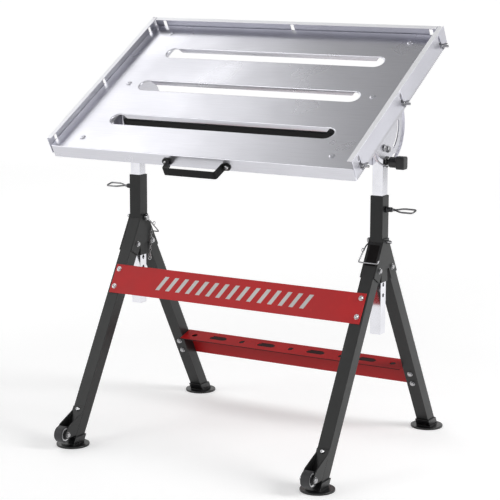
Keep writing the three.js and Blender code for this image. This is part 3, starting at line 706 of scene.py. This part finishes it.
def make_pull_pin(side_name):
    """The plunger and its pull ring of bent wire, which leans a little about the pin."""
    side = SIDES[side_name]
    near = 353.5 * MM
    far = 400.8 * MM
    half = 11 * MM
    bm = bmesh.new()
    shaft = [(0, 0), (2.2, 0), (3.2, 2), (3.2, 29.5), (2.6, 31), (0, 31)]
    turned(bm, shaft, Vector((side * 323.5 * MM, MID_Y, PULL_PIN_Z)), (side, 0, 0), 24)
    corners = [(near, -0.5 * MM), (near + 6 * MM, -3 * MM), (near + 18 * MM, -half), (far, -half),
               (far, half), (near + 18 * MM, half), (near + 6 * MM, 3 * MM), (near, 0.5 * MM)]
    lean = Matrix.Translation((0, MID_Y, PULL_PIN_Z)) @ Matrix.Rotation(RING_LEAN, 4, "X")
    path = rounded([lean @ Vector((side * x, y, 0)) for x, y in corners], 6 * MM, 8)
    sweep(bm, path, 2.0 * MM)
    node = f"pull_pin_{side_name}"
    finish_piece(node + "_ring", bm, BODY_OF[node], "zinc", [DARK_WIRE], replaces=[node])


def make_pull_housing(side_name):
    """A hexagon base and a grooved barrel that hold the plunger and its spring."""
    side = SIDES[side_name]
    place = Vector((side * 332.3 * MM, MID_Y, PULL_PIN_Z))
    bm = bmesh.new()
    base = [(3.5, 0), (7.4, 0), (7.4, 4), (6.6, 4.7), (3.5, 4.7), (3.5, 0)]
    turned(bm, base, place, (side, 0, 0), 6)
    grooves = []
    for i in range(4):
        rise = 2.2 * i
        grooves += [(5.5, 5.2 + rise), (5.5, 6.6 + rise), (5.0, 6.9 + rise), (5.0, 7.1 + rise)]
    barrel = [(3.5, 4.7), (5.0, 4.7), *grooves, (5.4, 14.2), (4.8, 15.6), (3.5, 15.6), (3.5, 4.7)]
    turned(bm, barrel, place, (side, 0, 0), 32)
    node = f"pull_pin_housing_{side_name}"
    finish_piece(node + "_turned", bm, BODY_OF[node], "zinc", [BLACK_OXIDE], replaces=[node])


def make_lock_pin(side_name):
    """A headed pin through the gussets."""
    side = SIDES[side_name]
    place = Vector((side * 290 * MM, MID_Y, LOCK_PIN_Z))
    bm = bmesh.new()
    pin = [(0, 0), (5.4, 0), (6, 0.6), (6, 3.2), (5.4, 3.8), (4, 3.8), (4, 55.4), (3, 57.6), (0, 57.6)]
    turned(bm, pin, place, (side, 0, 0), 28)
    node = f"lock_pin_{side_name}"
    finish_piece(node + "_turned", bm, BODY_OF[node], "zinc", replaces=[node])


def make_bail(side_name):
    """A spring-wire bail: an eye on the pin, an arm with a small ring, a bar and a hooked end.

    At rest the right one leans to the front and the left one to the back."""
    side = SIDES[side_name]
    inner, outer = 291.7, 337.8
    centre = Vector((0, MID_Y, LOCK_PIN_Z))
    turn = Matrix.Translation(centre) @ Matrix.Rotation(-BAIL_LEAN * side, 4, "X")

    def place(x, reach):
        return turn @ Vector((side * x * MM, 0, -reach * MM))

    bm = bmesh.new()
    eye = [(4.4, 0), (7.3, 0), (7.3, 3.2), (4.4, 3.2), (4.4, 0)]
    turned(bm, eye, Vector((side * 294.4 * MM, MID_Y, LOCK_PIN_Z)), (side, 0, 0), 28)
    corners = [place(296, 5.9), place(inner, 16), place(inner, 64), place(outer, 64),
               place(outer, 55.5)]
    sweep(bm, rounded(corners, 4 * MM, 7), 1.7 * MM)
    middle = place(inner, 33) + turn.to_3x3() @ Vector((0, -side, 0)) * 4.6 * MM
    ring = [middle + Vector((0, math.cos(angle), math.sin(angle))) * 4.4 * MM
            for angle in full_turn(20)]
    sweep(bm, ring, 0.8 * MM, 8, closed=True)
    node = f"lock_pin_bail_{side_name}"
    finish_piece(node + "_wire", bm, BODY_OF[node], "zinc", [CAST_ZINC], replaces=[node])


def make_chain(side_name):
    """A welded-link lanyard that hangs beside the inner gusset, with a larger ring at its end."""
    side = SIDES[side_name]
    x = side * 295.4 * MM
    hang = [(22, 462), (19, 430), (15, 405), (14, 392)]
    route = rounded([(x, MID_Y + y * MM, z * MM) for y, z in hang], 8 * MM, 6)
    lengths = [0.0]
    for a, b in zip(route, route[1:]):
        lengths.append(lengths[-1] + (b - a).length)
    pitch = 7 * MM
    bm = bmesh.new()
    for k in range(int(lengths[-1] / pitch)):
        target = (k + 0.5) * pitch
        i = max(j for j, length in enumerate(lengths[:-1]) if length <= target)
        centre = route[i].lerp(route[i + 1], (target - lengths[i]) / (lengths[i + 1] - lengths[i]))
        along = (route[i + 1] - route[i]).normalized()
        turn = math.radians(35 if k % 2 else -50)
        flat = Vector((math.sin(turn), math.cos(turn), 0))
        flat = (flat - along * flat.dot(along)).normalized()
        link = []
        for angle in full_turn(18):
            reach = 2.5 * math.cos(angle) + (1.9 if math.cos(angle) > 0 else -1.9)
            link.append(centre + (along * reach + flat * 2.3 * math.sin(angle)) * MM)
        sweep(bm, link, 0.85 * MM, 8, closed=True)
    end = route[-1] + Vector((0, 0, -2 * MM))
    ring = [end + Vector((0.3 * math.cos(angle), math.cos(angle), math.sin(angle))) * 4 * MM
            for angle in full_turn(20)]
    sweep(bm, ring, 0.8 * MM, 8, closed=True)
    node = f"lanyard_chain_{side_name}"
    finish_piece(node + "_links", bm, BODY_OF[node], "zinc", replaces=[node])


# ------------------------------------------------------------ legs, feet and wheels

def make_wheel(side_name):
    """A solid tread with a pale rim ring and a sunk hub face on each side."""
    centre = joint_place(f"wheel_{side_name}_spin")
    half = 10.8
    bm = bmesh.new()
    tread = [(14.6, -half + 1.2), (15.4, -half), (17.2, -half), (18.4, -half + 1.6),
             (18.4, half - 1.6), (17.2, half), (15.4, half), (14.6, half - 1.2), (14.6, -half + 1.2)]
    turned(bm, tread, centre, (1, 0, 0), 48)
    rim = [(11.8, -half + 1.6), (14.5, -half + 0.5), (14.5, half - 0.5), (11.8, half - 1.6)]
    rim.append(rim[0])
    turned(bm, rim, centre, (1, 0, 0), 48, material=1)
    hub = [(4.35, -half), (6.8, -half), (7.2, -half + 2), (11.7, -half + 3.4),
           (11.7, half - 3.4), (7.2, half - 2), (6.8, half), (4.35, half), (4.35, -half)]
    turned(bm, hub, centre, (1, 0, 0), 48)
    node = f"wheel_{side_name}"
    materials = [MATERIALS["wheel_plastic"], RIM_PLASTIC]
    finish_piece(node + "_moulded", bm, BODY_OF[node], "wheel_plastic", materials, replaces=[node])


def face_normal(front, outer):
    """The normal that points out of a leg's outer or inner face."""
    forward = -1 if front else 1
    normal = Vector((0, forward * math.cos(LEG_ANGLE), math.sin(LEG_ANGLE)))
    return normal if outer else -normal


def on_leg(x, z, front, proud=0.0, outer=True):
    """A point on a leg's outer or inner face, stood off it by a distance."""
    forward = -1 if front else 1
    depth = 0 if outer else LEG / math.cos(LEG_ANGLE)
    point = Vector((x, MID_Y + forward * (leg_face(z) - depth), z))
    return point + face_normal(front, outer) * proud


def make_leg_bolts():
    """Cap bolts that hold the front panel, the wheel brackets and the tool tray."""
    bm = bmesh.new()
    back = bmesh.new()
    forward = face_normal(True, True)
    for side in SIDES.values():
        x = side * FRAME_X
        for z in PANEL_BOLT_HEIGHTS:
            place = on_leg(x, z, True, 2.3 * MM)
            turned(bm, [(0, 0), (5.8, 0), (5.8, 0.8), (0, 0.8)], place, forward, 28)
            socket_head(bm, place + forward * 0.7 * MM, forward, 4.6, 3.2)
            hex_head(bm, on_leg(x, z, True, 0, False), face_normal(True, False), 5.4, 3.6)
        bracket_bolt = on_leg(x, WHEEL_BRACKET_BOLT_Z, True, 2.6 * MM)
        socket_head(bm, bracket_bolt, forward, 5.0, 3.4)
        for z in TRAY_BOLT_HEIGHTS:
            hex_head(back, on_leg(x, z, False, 0, False), face_normal(False, False), 5.4, 3.6)
            socket_head(back, on_leg(x, z, False, 2.3 * MM), face_normal(False, True), 6.0, 3.6)
    finish_piece("front_leg_bolts", bm, "front_legs", "zinc")
    finish_piece("rear_leg_bolts", back, "rear_legs", "zinc")


def make_label():
    """A blank film label high on the right front leg."""
    bm = bmesh.new()
    top, bottom = 484 * MM, 442 * MM
    along = on_leg(0, top, True) - on_leg(0, bottom, True)
    normal = face_normal(True, True)
    basis = Matrix((Vector((1, 0, 0)), along.normalized(), normal)).transposed().to_4x4()
    matrix = Matrix.Translation(on_leg(FRAME_X, bottom, True, 0.02 * MM)) @ basis
    half = 11.8 * MM
    outline = [(-half, 0), (half, 0), (half, along.length), (-half, along.length)]
    extrude_outline(bm, outline, matrix, 0.25 * MM)
    finish_piece("leg_label", bm, "front_legs", "black_plastic", [LABEL_FILM])


def make_motif():
    """A plain row of slanted bars across the panel."""
    bm = bmesh.new()
    normal = face_normal(True, True)
    low, high = 326 * MM, 387 * MM
    middle = (low + high) / 2
    along = (on_leg(0, high, True) - on_leg(0, low, True)).normalized()
    basis = Matrix((Vector((1, 0, 0)), along, normal)).transposed().to_4x4()
    matrix = Matrix.Translation(on_leg(0, middle, True, 2.36 * MM)) @ basis
    bar_half, bar_height, lean = 5.2 * MM, 17 * MM, 9 * MM
    count = 15
    pitch = 27 * MM
    for i in range(count):
        x = (i - (count - 1) / 2) * pitch
        outline = [(x - bar_half - lean, -bar_height), (x + bar_half - lean, -bar_height),
                   (x + bar_half + lean, bar_height), (x - bar_half + lean, bar_height)]
        extrude_outline(bm, outline, matrix, 0.15 * MM)
    finish_piece("panel_motif", bm, "front_legs", "red_paint", [MOTIF_PAINT])


# ------------------------------------------------------------ camera, light and floor

def make_camera():
    """The viewing angle: to the right of the table and a little above the top."""
    camera = bpy.data.objects.new("camera", bpy.data.cameras.new("camera"))
    bpy.context.scene.collection.objects.link(camera)
    camera.location = (1.9104, -3.2863 + MID_Y, 1.1489)
    camera.rotation_euler = (math.radians(79.43), math.radians(-0.15), math.radians(30.33))
    camera.data.lens = 121.62
    camera.data.sensor_width = 36
    bpy.context.scene.camera = camera


def area_light(name, place, target, size, power):
    """A rectangular lamp that faces a target."""
    light = bpy.data.lights.new(name, "AREA")
    light.shape = "RECTANGLE"
    light.size = size[0]
    light.size_y = size[1]
    light.energy = power
    lamp = bpy.data.objects.new(name, light)
    bpy.context.scene.collection.objects.link(lamp)
    lamp.location = place
    lamp.rotation_euler = (Vector(target) - Vector(place)).to_track_quat("-Z", "Y").to_euler()


def make_surround():
    """An even sky: white round the horizon and below it, greyer overhead."""
    world = bpy.data.worlds.new("surround")
    bpy.context.scene.world = world
    world.use_nodes = True
    tree = world.node_tree
    greys = [(0.46, 1.0), (0.58, 0.97), (0.74, 0.40), (1.0, 0.36)]
    sky = height_ramp(tree, "Generated", -1, 1, greys)
    background = tree.nodes["Background"]
    tree.links.new(sky, background.inputs["Color"])
    background.inputs["Strength"].default_value = 1.0


def make_floor():
    """A wide pale floor that glows a little, so that shadows stay soft and light."""
    bpy.ops.mesh.primitive_plane_add(size=90)
    floor = bpy.context.object
    floor.name = "floor"
    material, tree, shader = node_tree("pale_floor")
    tint = ramp(tree, noise(tree, 0.6, 2), [(0.3, 0.80), (0.7, 0.82)])
    tree.links.new(tint, shader.inputs["Base Color"])
    shader.inputs["Roughness"].default_value = 0.7
    place = tree.nodes.new("ShaderNodeTexCoord")
    reach = tree.nodes.new("ShaderNodeVectorMath")
    reach.operation = "LENGTH"
    span = tree.nodes.new("ShaderNodeMapRange")
    span.inputs["From Min"].default_value = 1.0
    span.inputs["From Max"].default_value = 6.0
    tree.links.new(place.outputs["Object"], reach.inputs[0])
    tree.links.new(reach.outputs["Value"], span.inputs["Value"])
    glow = ramp(tree, span.outputs["Result"], [(0.0, 0.30), (0.35, 0.50), (1.0, 0.64)])
    tree.links.new(glow, shader.inputs["Emission Color"])
    shader.inputs["Emission Strength"].default_value = 1.0
    floor.data.materials.append(material)


def make_card(name, tone, size, place):
    """A standing card that only shows in bright metal, which mirrors it as a darker band."""
    bpy.ops.mesh.primitive_plane_add(size=1, location=place)
    card = bpy.context.object
    card.name = name
    card.scale = (size[0], size[1], 1)
    inward = Vector((0, 0, place[2])) - Vector(place)
    card.rotation_euler = inward.to_track_quat("Z", "Y").to_euler()
    material, tree, shader = node_tree(name + "_grey")
    tint = ramp(tree, noise(tree, 2, 2), [(0.3, tone * 0.9), (0.7, tone * 1.1)])
    tree.links.new(tint, shader.inputs["Base Color"])
    shader.inputs["Roughness"].default_value = 0.8
    card.data.materials.append(material)
    card.visible_camera = False


def make_studio():
    """Sky, floor, three cards and three large soft lights: overhead, front left and right."""
    make_surround()
    make_floor()
    make_card("card_back_right", 0.42, (2.4, 2.6), (3.1, 3.2, 1.3))
    make_card("card_front_right", 0.02, (1.0, 3.0), (3.0, -1.6, 0.9))
    make_card("card_back_left", 0.02, (1.5, 3.0), (-4.5, 2.7, 0.9))
    middle = (0, 0, 0.7)
    area_light("overhead_panel", (-2.7, 0.6, 2.8), (-0.2, 0, 0.7), (2.2, 2.6), 27)
    area_light("front_left", (-2.4, -3.0, 2.6), middle, (1.8, 1.8), 30)
    area_light("right_fill", (3.0, 0.4, 1.6), middle, (1.2, 2.0), 80)
    bpy.context.scene.view_settings.view_transform = "Standard"


# ------------------------------------------------------------ building it all

def build():
    make_camera()
    make_studio()
    refined("front_panel", 0.6)
    refined("tie_bar", 1.4, [GLOSS_BLACK])
    # The rails' faces that look up take the painted highlight.
    for side_name in SIDES:
        refined(f"rail_{side_name}", 0.6, [MATERIALS["rail_steel"], RAIL_TOP_HIGHLIGHT], NORMAL)
    refined("rail_back", 0.6, [BACK_RAIL_SHADED, RAIL_TOP_HIGHLIGHT], NORMAL)
    # The tray's downward faces take the near-black painted shade, and its forward face takes the red
    # with painted shade under the shelf.
    tray_paints = [TRAY_PAINT, TRAY_PAINTED_SHADE, TRAY_FACE]
    refined("tool_tray", 0.6, tray_paints, Vector((0, 0, -1)), face_normal(False, False))
    for stem, bevel in PAIRED.items():
        for side_name in SIDES:
            refined(f"{stem}_{side_name}", bevel)
    make_top()
    make_top_fasteners()
    for name in WING_NUTS:
        make_wing_nut(name)
    make_handle()
    for side_name in SIDES:
        make_bracket_bolts(side_name)
        make_tilt_knob(side_name)
        for stem, (inside, outside) in HINGE_BOLTS.items():
            make_hinge_bolt(f"{stem}_{side_name}", inside, outside)
        make_pull_pin(side_name)
        make_pull_housing(side_name)
        make_lock_pin(side_name)
        make_bail(side_name)
        make_chain(side_name)
        make_wheel(side_name)
    make_leg_bolts()
    make_label()
    make_motif()


build()
